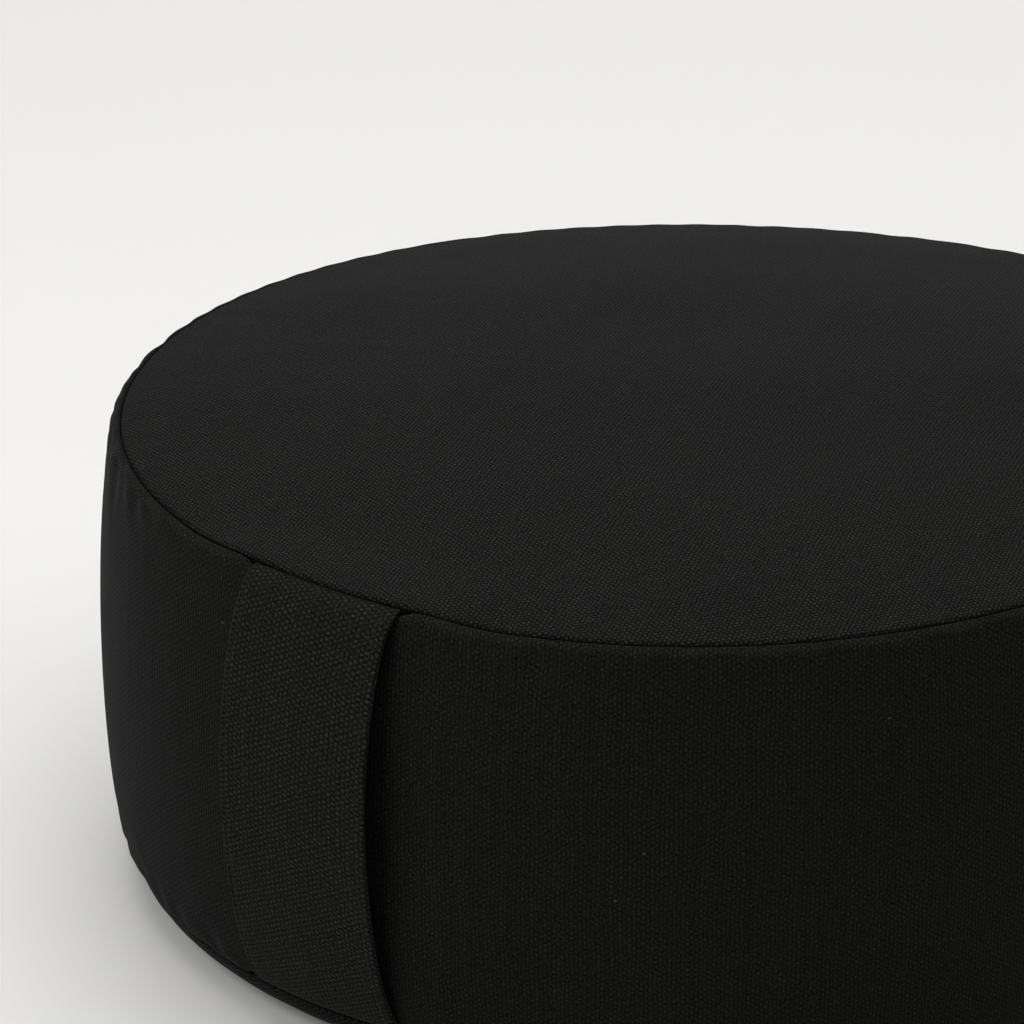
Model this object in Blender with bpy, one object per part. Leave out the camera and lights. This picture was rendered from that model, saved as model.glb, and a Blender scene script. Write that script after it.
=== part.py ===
"""Round meditation cushion: a filled drum with a bulging side band, crowned panels and a carrying handle.

Metres, +Z up. The origin is the middle of the flat patch that the cushion rests on, and the handle faces -Y.
"""

import math

import bmesh
import bpy
from mathutils import Vector

MM = 0.001

# The drum, measured to the outside of the cloth
SEAM_RADIUS = 173.0 * MM
TOP_SEAM_HEIGHT = 138.4 * MM
BOTTOM_SEAM_HEIGHT = 12.5 * MM
SIDE_BULGE = 6.8 * MM
CROWN_RISE = 10.4 * MM
CROWN_POWER = 2.5
FOOT_RADIUS = 151.2 * MM

# Cloth and the space between one piece and the next
CLOTH = 2.0 * MM
GAP = 0.3 * MM
SEAM_GAP = 0.15 * MM

# The top panel's rim: how far its outer face stands inside the seam, how far down it is turned,
# the radius of its bend, and the roundness of its raw edge
RIM_INSET = 0.4 * MM
RIM_DEPTH = 3.4 * MM
RIM_BEND = 1.8 * MM
RIM_ROUND = 0.5 * MM
BAND_LIP = 0.8 * MM

# The carrying handle, a doubled strip of the same cloth
HANDLE_WIDTH = 50.4 * MM
HANDLE_EDGE_ROUND = 0.6 * MM
HANDLE_HOLLOW = 8.0 * MM
HANDLE_PEAK = 0.57
HANDLE_UPPER_FULLNESS = 0.75
HANDLE_LOWER_FULLNESS = 1.23
HANDLE_FLATTENED = 0.6
HANDLE_TUCKED_IN = 1.8 * MM
HANDLE_AZIMUTH = -90.0

# How the seams give way where the handle's ends are caught in them
RIM_RAISED = 1.7 * MM
RAISE_REACH = 30.0 * MM
RAISE_FULL_ANGLE = 8.5
RAISE_END_ANGLE = 18.0
SHOULDER_LIFT = 2.5 * MM
SHOULDER_LIFT_REACH = 25.0 * MM
LIFT_FULL_ANGLE = 9.0
LIFT_END_ANGLE = 10.3

# The drum is filled by hand, so its plan isn't a true circle.
# waves round the plan, swell in metres, direction of a crest in degrees from +X
PLAN_WAVES = (
    (2, 2.7 * MM, 85.6),
    (3, 2.3 * MM, 49.3),
    (4, 0.6 * MM, 50.0),
)

# The top seam isn't level either.
# waves round the seam, rise in metres, direction of a crest in degrees from +X
SEAM_WAVES = (
    (1, 1.2 * MM, 32.2),
    (2, 1.4 * MM, 37.8),
)

# Facets
SEGMENTS = 80
BAND_STEPS = (5, 15, 30, 45, 60, 75, 90, 105, 120, 135, 150, 165, 175)
PANEL_SHARES = (0.16, 0.32, 0.47, 0.61, 0.73, 0.83, 0.91, 0.96)
TURN_STEPS = (15, 30, 45, 60, 75)
RIM_STEPS = (0, 30, 60, 90)
FOOT_RING = FOOT_RADIUS / 2
HANDLE_STATIONS = 34
HANDLE_COLUMNS = 9
STATION_CROWDING = 0.7
SLOPE_STEP = 0.5
SHARP_EDGE_ANGLE = 50

CANVAS_BLACK = (0.016, 0.0157, 0.0152, 1.0)
CANVAS_ROUGHNESS = 0.92


def smooth(value, start, end):
    """0 at start, 1 at end, with a soft run between them."""
    share = min(max((value - start) / (end - start), 0.0), 1.0)
    return share * share * (3 - 2 * share)


def waves(table, azimuth):
    return sum(size * math.cos(count * (azimuth - math.radians(crest))) for count, size, crest in table)


def off_handle(azimuth):
    """Degrees between an azimuth and the middle of the handle."""
    turned = math.degrees(azimuth) - HANDLE_AZIMUTH
    return abs((turned + 180) % 360 - 180)


def place(radius, height, azimuth):
    """A point of the true drum, from its place on the even one."""
    swell = 1 + waves(PLAN_WAVES, azimuth) / SEAM_RADIUS
    share = min(max(height / TOP_SEAM_HEIGHT, 0.0), 1.0) * min(radius / SEAM_RADIUS, 1.0)
    rise = waves(SEAM_WAVES, azimuth) * share
    return Vector((radius * swell * math.cos(azimuth), radius * swell * math.sin(azimuth), height + rise))


def crown_height(radius):
    return TOP_SEAM_HEIGHT + CROWN_RISE * (1 - (radius / SEAM_RADIUS) ** CROWN_POWER)


def rim_bend_point(start, angle):
    """A point where the top panel bends down into the seam, from 0 where the bend starts to 90 at its foot."""
    a = math.radians(angle)
    return start + RIM_BEND * math.sin(a), crown_height(start) - RIM_BEND * (1 - math.cos(a))


def turn_point(angle, inset):
    """A point of the rounded edge below the bottom seam, the inset inside the cloth's outer face."""
    a = math.radians(angle)
    radius = FOOT_RADIUS + (SEAM_RADIUS - FOOT_RADIUS - inset) * math.sin(a)
    height = BOTTOM_SEAM_HEIGHT - (BOTTOM_SEAM_HEIGHT - inset) * math.cos(a)
    return radius, height


def band_point(angle, tucked=0.0):
    """A point of the side band, half an ellipse from 0 at the top seam to 180 at the bottom one."""
    a = math.radians(angle)
    half = (TOP_SEAM_HEIGHT - BOTTOM_SEAM_HEIGHT) / 2
    height = BOTTOM_SEAM_HEIGHT + half * (1 + math.cos(a))
    fade = smooth(height, BOTTOM_SEAM_HEIGHT + SHOULDER_LIFT_REACH, BOTTOM_SEAM_HEIGHT)
    return SEAM_RADIUS + SIDE_BULGE * math.sin(a), height + tucked * SHOULDER_LIFT * fade


def drum_section(azimuth):
    """The filled drum with its band, from the middle of its top to the middle of its underside."""
    tucked = 1 - smooth(off_handle(azimuth), LIFT_FULL_ANGLE, LIFT_END_ANGLE)
    under = CLOTH + GAP
    groove_floor = TOP_SEAM_HEIGHT - RIM_DEPTH - RIM_ROUND - GAP
    groove_outside = SEAM_RADIUS - RIM_INSET + GAP
    groove_inside = SEAM_RADIUS - RIM_INSET - under
    section = [(0.0, crown_height(0) - under)]
    section += [(share * SEAM_RADIUS, crown_height(share * SEAM_RADIUS) - under) for share in PANEL_SHARES]
    section += [
        (groove_inside, TOP_SEAM_HEIGHT - under - RIM_ROUND),
        (groove_inside, groove_floor),
        (groove_outside, groove_floor),
        (groove_outside, TOP_SEAM_HEIGHT - BAND_LIP),
        (SEAM_RADIUS + SEAM_GAP, TOP_SEAM_HEIGHT - SEAM_GAP),
    ]
    section += [band_point(angle, tucked) for angle in BAND_STEPS]
    shoulder = BOTTOM_SEAM_HEIGHT + SEAM_GAP + tucked * SHOULDER_LIFT
    section += [(SEAM_RADIUS + SEAM_GAP, shoulder), (SEAM_RADIUS - under, shoulder)]
    section += [turn_point(angle, under) for angle in (*TURN_STEPS[::-1], 0)]
    section += [(FOOT_RING, under), (0.0, under)]
    return section


def top_panel_section(azimuth):
    """The crowned top panel, its rim turned down into the seam and raised over the handle's end."""
    raised = RIM_RAISED * (1 - smooth(off_handle(azimuth), RAISE_FULL_ANGLE, RAISE_END_ANGLE))
    shares = [share * SEAM_RADIUS for share in PANEL_SHARES]
    outer = [(radius, crown_height(radius)) for radius in (0.0, *shares)]
    face = SEAM_RADIUS - RIM_INSET
    bend_start = face - RIM_BEND
    rim = [rim_bend_point(bend_start, angle) for angle in RIM_STEPS]
    rim += [
        (face, TOP_SEAM_HEIGHT - RIM_DEPTH),
        (face - CLOTH / 2, TOP_SEAM_HEIGHT - RIM_DEPTH - RIM_ROUND),
        (face - CLOTH, TOP_SEAM_HEIGHT - RIM_DEPTH),
        (face - CLOTH, TOP_SEAM_HEIGHT - CLOTH - RIM_ROUND),
    ]
    inner = [(radius, crown_height(radius) - CLOTH) for radius in (*shares[::-1], 0.0)]
    section = outer + rim + inner
    return [(r, z + raised * smooth(r, SEAM_RADIUS - RAISE_REACH, SEAM_RADIUS)) for r, z in section]


def bottom_panel_section(_azimuth):
    """The bottom panel, flat where it rests and turned up to the seam, the same all round."""
    lip = BOTTOM_SEAM_HEIGHT - SEAM_GAP
    section = [(0.0, CLOTH), (FOOT_RING, CLOTH), (FOOT_RADIUS, CLOTH)]
    section += [turn_point(angle, CLOTH) for angle in TURN_STEPS]
    section += [
        (SEAM_RADIUS - CLOTH, lip - RIM_ROUND),
        (SEAM_RADIUS - CLOTH / 2, lip),
        (SEAM_RADIUS, lip - RIM_ROUND),
    ]
    section += [turn_point(angle, 0.0) for angle in TURN_STEPS[::-1]]
    section += [(FOOT_RADIUS, 0.0), (FOOT_RING, 0.0), (0.0, 0.0)]
    return section


def handle_stand_off(height):
    """How much of its full stand-off the handle has at a height of the band."""
    share = (height - BOTTOM_SEAM_HEIGHT) / (TOP_SEAM_HEIGHT - BOTTOM_SEAM_HEIGHT)
    if share > HANDLE_PEAK:
        away, fullness = (share - HANDLE_PEAK) / (1 - HANDLE_PEAK), HANDLE_UPPER_FULLNESS
    else:
        away, fullness = (HANDLE_PEAK - share) / HANDLE_PEAK, HANDLE_LOWER_FULLNESS
    return max(1 - away * away, 0.0) ** fullness


def handle_stations():
    """Rows along the handle: its inner face, its outer face and how full its stand-off is there."""
    rows = []
    for i in range(HANDLE_STATIONS + 1):
        share = i / HANDLE_STATIONS
        angle = 180 * (share - STATION_CROWDING * math.sin(2 * math.pi * share) / (2 * math.pi))
        before, here, after = (band_point(angle + step, 1.0) for step in (-SLOPE_STEP, 0.0, SLOPE_STEP))
        along = Vector((after[0] - before[0], after[1] - before[1])).normalized()
        outward = Vector((-along.y, along.x))
        full = handle_stand_off(band_point(angle)[1])
        inner = Vector(here) + outward * (GAP + (HANDLE_HOLLOW - GAP) * full)
        rows.append((inner, inner + outward * CLOTH, full))
    inner, outer, full = rows[-1]
    tucked_in = Vector((-HANDLE_TUCKED_IN, 0.0))
    rows.append((inner + tucked_in, outer + tucked_in, full))
    return rows


def handle_point(face, across, full):
    """A point of the handle: across is its distance from the middle line."""
    half = HANDLE_WIDTH / 2
    flattening = HANDLE_FLATTENED * full * (half * half - across * across) / (2 * SEAM_RADIUS)
    azimuth = math.radians(HANDLE_AZIMUTH) + across / face.x
    return place(face.x - flattening, face.y, azimuth)


def new_object(name, mesh_builder):
    mesh = bpy.data.meshes.new(name)
    bmesh.ops.recalc_face_normals(mesh_builder, faces=mesh_builder.faces)
    mesh_builder.to_mesh(mesh)
    mesh_builder.free()
    made = bpy.data.objects.new(name, mesh)
    bpy.context.scene.collection.objects.link(made)
    mesh.shade_smooth()
    mesh.set_sharp_from_angle(angle=math.radians(SHARP_EDGE_ANGLE))
    mesh.materials.append(canvas(name))
    return made


def canvas(name):
    """Black cotton canvas, matt all over."""
    material = bpy.data.materials.new(f"{name}_canvas")
    material.use_nodes = True
    shader = material.node_tree.nodes["Principled BSDF"]
    shader.inputs["Base Color"].default_value = CANVAS_BLACK
    shader.inputs["Roughness"].default_value = CANVAS_ROUGHNESS
    shader.inputs["Metallic"].default_value = 0.0
    return material


def azimuths():
    """Even steps round the drum, with one more each side of the handle where the seam gives way."""
    even = [360 * i / SEGMENTS + HANDLE_AZIMUTH for i in range(SEGMENTS)]
    beside = [HANDLE_AZIMUTH + LIFT_END_ANGLE, HANDLE_AZIMUTH + 360 - LIFT_END_ANGLE]
    return [math.radians(angle) for angle in sorted(even + beside)]


def turned(name, section_at):
    """A closed body turned about the axis, from a section that starts and ends on it."""
    builder = bmesh.new()
    rings = []
    for azimuth in azimuths():
        section = section_at(azimuth)
        rings.append([builder.verts.new(place(r, z, azimuth)) for r, z in section[1:-1]])
    first, last = section[0], section[-1]
    start = builder.verts.new((0.0, 0.0, first[1]))
    end = builder.verts.new((0.0, 0.0, last[1]))
    for here, there in zip(rings, rings[1:] + rings[:1]):
        builder.faces.new((start, here[0], there[0]))
        builder.faces.new((end, there[-1], here[-1]))
        for i in range(len(here) - 1):
            builder.faces.new((here[i], here[i + 1], there[i + 1], there[i]))
    return new_object(name, builder)


def handle(name):
    """The doubled strip from seam to seam, bowed out for the fingers."""
    builder = bmesh.new()
    half = HANDLE_WIDTH / 2
    flat_half = half - HANDLE_EDGE_ROUND
    columns = [flat_half * (2 * i / (HANDLE_COLUMNS - 1) - 1) for i in range(HANDLE_COLUMNS)]
    loops = []
    for inner, outer, full in handle_stations():
        middle = (inner + outer) / 2
        points = [handle_point(outer, across, full) for across in columns]
        points.append(handle_point(middle, half, full))
        points += [handle_point(inner, across, full) for across in reversed(columns)]
        points.append(handle_point(middle, -half, full))
        loops.append([builder.verts.new(point) for point in points])
    count = len(loops[0])
    for here, there in zip(loops, loops[1:]):
        for i in range(count):
            j = (i + 1) % count
            builder.faces.new((here[i], here[j], there[j], there[i]))
    for loop in (loops[0], loops[-1]):
        builder.faces.new((loop[-1], loop[0], loop[2 * HANDLE_COLUMNS]))
        builder.faces.new((loop[HANDLE_COLUMNS - 1], loop[HANDLE_COLUMNS], loop[HANDLE_COLUMNS + 1]))
        for i in range(HANDLE_COLUMNS - 1):
            opposite = 2 * HANDLE_COLUMNS - i
            builder.faces.new((loop[i], loop[i + 1], loop[opposite - 1], loop[opposite]))
    return new_object(name, builder)


def clear_scene():
    for leftover in list(bpy.data.objects):
        bpy.data.objects.remove(leftover, do_unlink=True)


def main():
    clear_scene()
    turned("side_band", drum_section)
    turned("top_panel", top_panel_section)
    turned("bottom_panel", bottom_panel_section)
    handle("handle")


main()
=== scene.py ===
"""Looks of a round meditation cushion: canvas cover, carrying handle, stitching and a plain stage.

Metres, +Z up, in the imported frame: the middle of the foot is the origin and the handle faces -Y.
"""

import functools
import math

import bpy
import numpy as np
from mathutils import Matrix, Vector


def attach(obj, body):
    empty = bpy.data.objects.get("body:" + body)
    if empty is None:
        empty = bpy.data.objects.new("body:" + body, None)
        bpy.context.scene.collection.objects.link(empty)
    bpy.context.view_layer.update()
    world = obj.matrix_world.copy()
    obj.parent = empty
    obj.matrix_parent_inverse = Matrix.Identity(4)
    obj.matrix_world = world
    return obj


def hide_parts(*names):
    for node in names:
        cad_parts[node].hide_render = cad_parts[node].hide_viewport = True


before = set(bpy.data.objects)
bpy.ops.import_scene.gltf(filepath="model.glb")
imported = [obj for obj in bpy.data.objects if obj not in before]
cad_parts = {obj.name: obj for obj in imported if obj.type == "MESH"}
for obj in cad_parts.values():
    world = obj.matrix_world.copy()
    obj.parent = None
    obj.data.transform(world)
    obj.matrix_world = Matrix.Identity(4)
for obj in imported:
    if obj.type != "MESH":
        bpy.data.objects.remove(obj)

bl_info = {
    "name": "Round meditation cushion",
    "version": (1, 0, 0),
    "blender": (4, 5, 0),
    "location": "3D View > Sidebar > Cushion",
    "description": "Builds the canvas cover, carrying handle and stitching of a round meditation cushion",
    "category": "Object",
}

MM = 0.001

# The drum, as in the solids
SEAM_RADIUS = 173.0 * MM
TOP_SEAM_HEIGHT = 138.4 * MM
BOTTOM_SEAM_HEIGHT = 12.5 * MM
SIDE_BULGE = 6.8 * MM
CROWN_RISE = 10.4 * MM
CROWN_POWER = 2.5
FOOT_RADIUS = 151.2 * MM
CLOTH = 2.0 * MM
GAP = 0.3 * MM
SEAM_GAP = 0.15 * MM
RIM_DEPTH = 3.4 * MM
RIM_ROUND = 0.5 * MM
BAND_LIP = 0.8 * MM

# The top panel's turned-down rim, which bends more tightly than the solids draw it
RIM_INSET = 0.6 * MM
RIM_BEND = 1.4 * MM

# How the seams give way where the handle's ends are caught in them, as in the solids
HANDLE_AZIMUTH = -90.0
RIM_RAISED = 1.7 * MM
RAISE_REACH = 30.0 * MM
RAISE_FULL_ANGLE = 8.5
RAISE_END_ANGLE = 18.0
SHOULDER_LIFT = 2.5 * MM
SHOULDER_LIFT_REACH = 25.0 * MM
LIFT_FULL_ANGLE = 9.0
LIFT_END_ANGLE = 10.3

# The handle's end presses the band's top edge down, and beside it the edge rises with the rim. The
# rise comes in between two angles off the handle's middle.
EDGE_PRESSED = 0.5 * MM
EDGE_PRESSED_REACH = 14.0 * MM
BESIDE_HANDLE = (8.4, 9.4)

# The uneven filling, as in the solids: how many waves go round the drum, how high each kind is, and
# where a crest lies, in degrees from +X
PLAN_WAVES = ((2, 2.7 * MM, 85.6), (3, 2.3 * MM, 49.3), (4, 0.6 * MM, 50.0))
SEAM_WAVES = ((1, 1.2 * MM, 32.2), (2, 1.4 * MM, 37.8))

# The handle, as in the solids
HANDLE_WIDTH = 50.4 * MM
HANDLE_HOLLOW = 8.0 * MM
HANDLE_PEAK = 0.57
HANDLE_UPPER_FULLNESS = 0.75
HANDLE_LOWER_FULLNESS = 1.23
HANDLE_FLATTENED = 0.6
HANDLE_TUCKED_IN = 1.8 * MM

# The seams squeeze the handle's ends by this share of their thickness, over this length
END_SQUEEZED = 0.5
END_SQUEEZED_REACH = 5.0 * MM

# The strip is pressed flat, so its ribs stand further apart than the cover's
HANDLE_RIBS_SPREAD = 1.28

# The band's cloth starts a little down from its top edge, in degrees of the half ellipse that it
# follows, so that the seam is a fine line. Below it the filling rolls the cloth outward: how far,
# and how far down from the seam the roll is fullest.
LIP_TURN = 6.5
SHOULDER_ROLL = 0.5 * MM
SHOULDER_ROLL_REACH = 2.5 * MM

# Painted shade in the seams: how fast it fades from the creases and from the band's edges, and between
# which shares of the rim's bend it comes in. Below the top seam a painted highlight lightens the band where
# its
# shoulder catches the light: how much, how far down and how widely.
CREASE_SHADE_REACH = 0.2 * MM
LIP_SHADE_REACH = 0.12 * MM
RIM_SHADE = (0.56, 0.78)
SHOULDER_HIGHLIGHT = 0.5
SHOULDER_HIGHLIGHT_BELOW_SEAM = 1.2 * MM
SHOULDER_HIGHLIGHT_WIDTH = 0.9 * MM

# The small gathers beside the seams: their longest and shortest waves, how soon they begin, and the
# seed of each seam's. Those of the bottom seam run through band and panel alike.
GATHERS_LONGEST = 34.0 * MM
GATHERS_SHORTEST = 12.0 * MM
GATHERS_BEGIN = 3.0 * MM
TOP_PANEL_GATHERS_SHORTEST = 13.0 * MM
TOP_PANEL_GATHERS_BEGIN = 4.0 * MM
TOP_PANEL_SEED = 7
BAND_TOP_SEED = 3
BOTTOM_SEAM_SEED = 5

# The filling's fine unevenness. The band has these numbers of waves round it, each turned by up to
# so many half turns on its way up, and they are full this far from a seam. The crown has so many
# waves, with lengths between these two.
BAND_LUMP_WAVES = range(3, 19)
BAND_LUMP_TURNS = 2.2
BAND_LUMP_FADE = 20.0 * MM
BAND_LUMP_SEED = 2
CROWN_LUMP_WAVES = 16
CROWN_LUMP_LENGTHS = (60.0 * MM, 160.0 * MM)
CROWN_LUMP_SEED = 11

# Up to this height the bottom panel lies too close to the floor to gather
FLOOR_HOLD = 2.0 * MM

# How finely the cloth is drawn, how closely its rows crowd toward seams and edges, and over how many
# degrees the band's slope is read
COLUMNS = 480
BAND_ROWS = 90
END_CROWDING = 0.6
PANEL_RINGS = 64
RIM_CROWDING = 0.75
BEND_STEPS = 6
HIDDEN_RINGS = (0.25, 0.5, 0.7, 0.85, 0.95)
HIDDEN_TURN = (75.0, 60.0, 45.0, 30.0, 15.0, 0.0)
FOOT_RINGS = (0.35, 0.7, 1.0)
TURN_POINTS = 15
HANDLE_ROWS = 240
HANDLE_ROW_CROWDING = 0.5
HANDLE_COLUMNS = 100
HANDLE_EDGE_CROWDING = 0.75
EDGE_STEPS = 6
SLOPE_STEP = 0.5

# The cloth that is blown up against its seams: how finely it is cut, where its innermost ring lies,
# how exactly and how long it is worked out, how much longer it is than the solids' surface, how hard
# the filling pushes, how far a point may move, how many of the broadest waves are left out, and how
# much of the rest shows on the taut crown. Between two angles off its middle the handle lets go.
SETTLE_COLUMNS = 168
SETTLE_RINGS = 24
SETTLE_BAND_ROWS = 20
SETTLE_INNER = 0.06
SETTLE_QUALITY = 6
SETTLE_FRAMES = 20
SETTLE_SLACK = 0.006
SETTLE_PRESSURE = 4.0
SETTLE_LIMIT = 1.0 * MM
SETTLE_BROAD_WAVES = 6
SETTLE_CROWN_SHARE = 0.05
UNDER_HANDLE = (8.0, 15.0)

# The handle's stitches. Half the width of the furrow that they pull, how dark the painted shade in it
# is, and how far from the seams they stop. A stitch starts below the furrow's floor and arches steeply
# out of it, both in thread radii, and its ends are thinner than its middle.
FURROW_WIDTH = 0.35 * MM
FURROW_SHADE = 0.2
STITCHES_FROM_END = 4.0 * MM
STITCH_RINGS = 8
THREAD_SIDES = 8
STITCH_SUNK = 0.9
STITCH_ARCH = 1.5
STITCH_ARCH_POWER = 0.6
STITCH_END_SHARE = 0.55
STITCH_END_POWER = 0.5

# Lengths over which the cloth is uneven: how far its yarns run before they wander, how far before
# they jitter, and how wide the dye's patches are. A cotton fibre is about 0.02 mm thick and far too
# fine to show, so the fibres are drawn as grains of more than half a millimetre.
YARN_WANDER = 17.0 * MM
YARN_JITTER = 1.8 * MM
DYE_PATCH = 38.0 * MM
FIBRE_GRAIN = 0.62 * MM

# How far they wander and jitter, in yarns across the ribs and along them
WANDERED_YARNS = (1.1, 1.1, 0)
JITTERED_YARNS = (0.65, 0.8, 0)

# How much lighter than the dye's own tone the raised nubs are painted, beside how much darker the sunken
# weft is painted (painted highlight and painted shade of the weave), and how much of the relief is the
# fibres' fuzz
NUB_HIGHLIGHT = 1.35
FUZZ_SHARE = 0.35

# From least to most: where a nub rises out of the weave's wave, the heights that light reaches, and
# how the nubs' heights and the tones of nubs, ribs, dye and fibres differ, and the tones of the painted
# shade in the creases. The dye's and the fibres' tones are spread over a span of their noise.
NUB_SPAN = (-0.6, 0.8)
LIT_SPAN = (0.15, 0.95)
NUB_HEIGHTS = (0.88, 1.08)
NUB_TONES = (0.9, 1.1)
RIB_TONES = (0.93, 1.07)
DYE_TONES, DYE_NOISE = (0.96, 1.04), (0.3, 0.7)
FIBRE_TONES, FIBRE_NOISE = (0.25, 1.75), (0.32, 0.68)
PAINTED_SHADING_TONES = (1.0, 0.05)

# How few nubs have a fibre that the dye missed, and how high on the nub it shows
FLECKED_NUBS = 0.0003
FLECK_ABOVE = 0.35

# Patches of the thread's twisted fibres in one metre, and how high they stand
TWISTS_IN_A_METRE = 2400.0
TWIST_RELIEF = 0.1 * MM

# The rib direction in the top panel, in degrees from +X
TOP_RIB_DIRECTION = 108.2

# From the middle of the floor to its edges
FLOOR_REACH = 12.0

# The camera: where it stands, where it looks across the floor, how far down, how far it is turned
CAMERA_PLACE = (0.78914, -1.12424, 0.65014)
CAMERA_HEADING = (-0.60785, 0.79405)
CAMERA_PITCH = 21.681
CAMERA_ROLL = 0.0032
CAMERA_LENS = 175.78
CAMERA_SENSOR = 36.0
CAMERA_NEAREST = 0.05
CAMERA_FURTHEST = 50.0

# The soft lights: degrees round from where the camera looks, degrees up, distance and width
LIGHTS = {
    "overhead": (0.0, 88.0, 2.2, 2.0),
    "back": (0.0, 35.0, 2.6, 1.8),
    "low_back": (0.0, 14.0, 3.5, 2.0),
    "front_left": (130.0, 35.0, 2.4, 1.6),
    "front_high": (180.0, 66.0, 2.4, 1.8),
    "right": (-90.0, 35.0, 2.4, 1.6),
}


def linear(hex_colour):
    """The linear colour of an sRGB hex value."""
    parts = [int(hex_colour[i : i + 2], 16) / 255 for i in (1, 3, 5)]
    return tuple(p / 12.92 if p <= 0.04045 else ((p + 0.055) / 1.055) ** 2.4 for p in parts)


def a_length(name, description, default):
    """A setting in metres."""
    return bpy.props.FloatProperty(name=name, description=description, default=default, unit="LENGTH")


def a_colour(name, description, default):
    """A setting that picks a colour, first given as an sRGB hex value."""
    return bpy.props.FloatVectorProperty(name=name, description=description, subtype="COLOR",
                                         default=linear(default))


def a_power(name, description, default):
    """A light's setting in watts."""
    return bpy.props.FloatProperty(name=name, description=description, default=default, unit="POWER")


class CanvasSettings(bpy.types.PropertyGroup):
    """The cloth that every piece is cut from."""

    dye: a_colour("Dye", "Colour of the dyed yarn where it is lit full on", "#121211")
    fleck: a_colour("Fleck", "Colour of the odd fibre that the dye missed", "#383735")
    rib_spacing: a_length("Rib spacing", "From one warp rib to the next", 1.18 * MM)
    pick_spacing: a_length("Pick spacing", "From one weft yarn to the next", 0.78 * MM)
    relief: a_length("Relief", "How far the warp yarn rises and falls as it crosses the weft", 0.14 * MM)


class CoverSettings(bpy.types.PropertyGroup):
    """How evenly the cover is filled and sewn."""

    pucker: a_length("Pucker", "Height of the small gathers beside the seams", 0.05 * MM)
    pucker_reach: a_length("Pucker reach", "How far the gathers run from a seam", 13.0 * MM)
    lump: a_length("Lump", "Height of the broad unevenness of the loose filling", 0.18 * MM)


class HandleSettings(bpy.types.PropertyGroup):
    """The carrying handle's topstitching."""

    stitch_pitch: a_length("Stitch pitch", "From one stitch to the next", 3.3 * MM)
    stitch_gap: a_length("Stitch gap", "Cloth that shows between one stitch and the next", 0.6 * MM)
    stitch_inset: a_length("Stitch inset", "From the strip's folded edge to the row of stitches", 2.0 * MM)
    closing_inset: a_length(
        "Closing stitch inset",
        "From the strip's other edge, where it is turned in, to the row that closes it",
        3.0 * MM,
    )
    thread_radius: a_length("Thread radius", "Half the thickness of the sewing thread", 0.13 * MM)
    stitch_trough: a_length("Stitch trough", "How deep the stitches pull into the doubled cloth", 0.32 * MM)
    thread: a_colour("Thread", "Colour of the sewing thread", "#0b0b0b")


class StageSettings(bpy.types.PropertyGroup):
    """The floor and the lights."""

    floor: a_colour("Floor", "Colour of the matt white floor", "#e6e5e4")
    room: bpy.props.FloatProperty(name="Room light", description="Even light from all round", default=0.15)
    overhead: a_power("Overhead light", "Power of the large soft light overhead", 29.5)
    back: a_power("Back light", "Power of the soft light behind the cushion", 12.5)
    low_back: a_power("Low back light", "Power of the far, low light behind, which grazes the top", 15.0)
    front_left: a_power("Front left light", "Power of the soft light at the camera's left", 29.5)
    front_high: a_power("Front high light", "Power of the soft light high in front of the cushion", 7.0)
    right: a_power("Right light", "Power of the soft light at the camera's right", 12.5)


def smooth(value, start, end):
    """0 at start, 1 at end, with a soft run between them."""
    share = np.clip((value - start) / (end - start), 0.0, 1.0)
    return share * share * (3 - 2 * share)


def waves(table, azimuth):
    return sum(size * np.cos(count * (azimuth - math.radians(crest))) for count, size, crest in table)


def off_handle(azimuth):
    """Degrees between an azimuth and the middle of the handle."""
    turned = np.degrees(azimuth) - HANDLE_AZIMUTH
    return np.abs((turned + 180) % 360 - 180)


def place(radius, height, azimuth):
    """Points of the true drum, from their places on the even one."""
    swell = 1 + waves(PLAN_WAVES, azimuth) / SEAM_RADIUS
    share = np.clip(height / TOP_SEAM_HEIGHT, 0.0, 1.0) * np.minimum(radius / SEAM_RADIUS, 1.0)
    rise = waves(SEAM_WAVES, azimuth) * share
    points = (radius * swell * np.cos(azimuth), radius * swell * np.sin(azimuth), height + rise)
    return np.stack(np.broadcast_arrays(*points), axis=-1)


def crown_height(radius):
    return TOP_SEAM_HEIGHT + CROWN_RISE * (1 - (radius / SEAM_RADIUS) ** CROWN_POWER)


def turn_point(degrees, inset):
    """The rounded edge below the bottom seam, from 0 at the floor to 90 at the seam."""
    a = np.radians(degrees)
    radius = FOOT_RADIUS + (SEAM_RADIUS - FOOT_RADIUS - inset) * np.sin(a)
    height = BOTTOM_SEAM_HEIGHT - (BOTTOM_SEAM_HEIGHT - inset) * np.cos(a)
    return radius, height


def band_point(degrees, tucked):
    """The side band, half an ellipse from 0 at the top seam to 180 at the bottom one."""
    a = np.radians(degrees)
    half = (TOP_SEAM_HEIGHT - BOTTOM_SEAM_HEIGHT) / 2
    height = BOTTOM_SEAM_HEIGHT + half * (1 + np.cos(a))
    lifted = SHOULDER_LIFT * smooth(height, BOTTOM_SEAM_HEIGHT + SHOULDER_LIFT_REACH, BOTTOM_SEAM_HEIGHT)
    pressed = EDGE_PRESSED * smooth(height, TOP_SEAM_HEIGHT - EDGE_PRESSED_REACH, TOP_SEAM_HEIGHT)
    return SEAM_RADIUS + SIDE_BULGE * np.sin(a), height + tucked * (lifted - pressed)


def rim_raised(azimuth):
    """How far the top seam rises toward the handle's end, which is caught in it."""
    return RIM_RAISED * (1 - smooth(off_handle(azimuth), RAISE_FULL_ANGLE, RAISE_END_ANGLE))


def tucked_at(azimuth):
    """How fully the band's edges make way for the handle's ends, from 0 to 1."""
    return 1 - smooth(off_handle(azimuth), LIFT_FULL_ANGLE, LIFT_END_ANGLE)


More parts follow.
